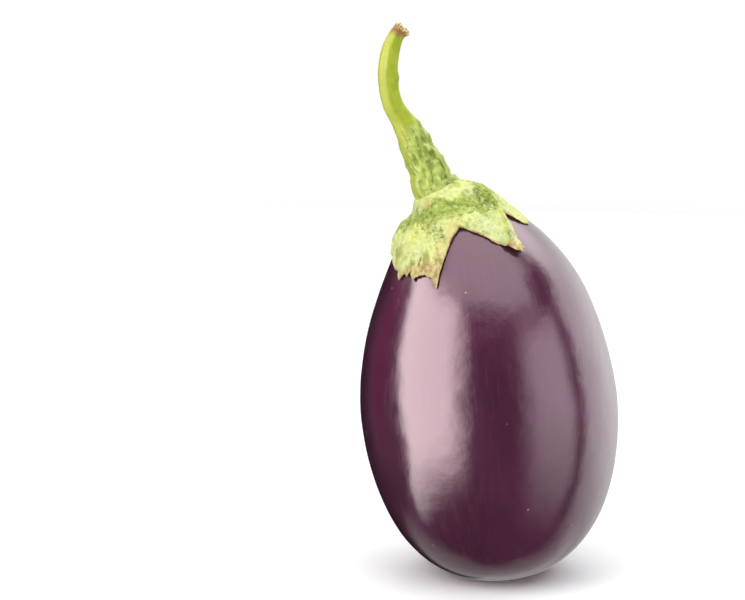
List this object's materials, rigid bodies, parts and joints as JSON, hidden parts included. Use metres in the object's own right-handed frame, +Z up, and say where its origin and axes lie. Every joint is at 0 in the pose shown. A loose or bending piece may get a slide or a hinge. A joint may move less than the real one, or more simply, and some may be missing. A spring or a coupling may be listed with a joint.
{
  "type": "eggplant",
  "caption": "Whole oval eggplant standing on its blossom end, with a five-lobed calyx and a bent stalk.",
  "frame": {"origin": "on the small flat spot at the blossom end that the fruit stands on, at the fruit's lowest point", "axes": "+Z up, along the standing fruit and its stalk; -Y is the front; +X is to the right seen from the front, and the fruit leans 5 degrees towards -X"},
  "size_m": [0.0843, 0.084, 0.1807],
  "materials": {
    "fruit_skin": "smooth waxy skin, dark wine purple, glossy",
    "calyx_green": "fleshy yellow green with darker mottling, dried tan at the lobe edges, matte",
    "stalk_green": "ridged and warty below, smooth and yellower above, brown corky end, matte"
  },
  "bodies": {
    "root": {"fruit": "fruit_skin", "calyx": "calyx_green", "stem": "stalk_green"}
  },
  "joints": []
}
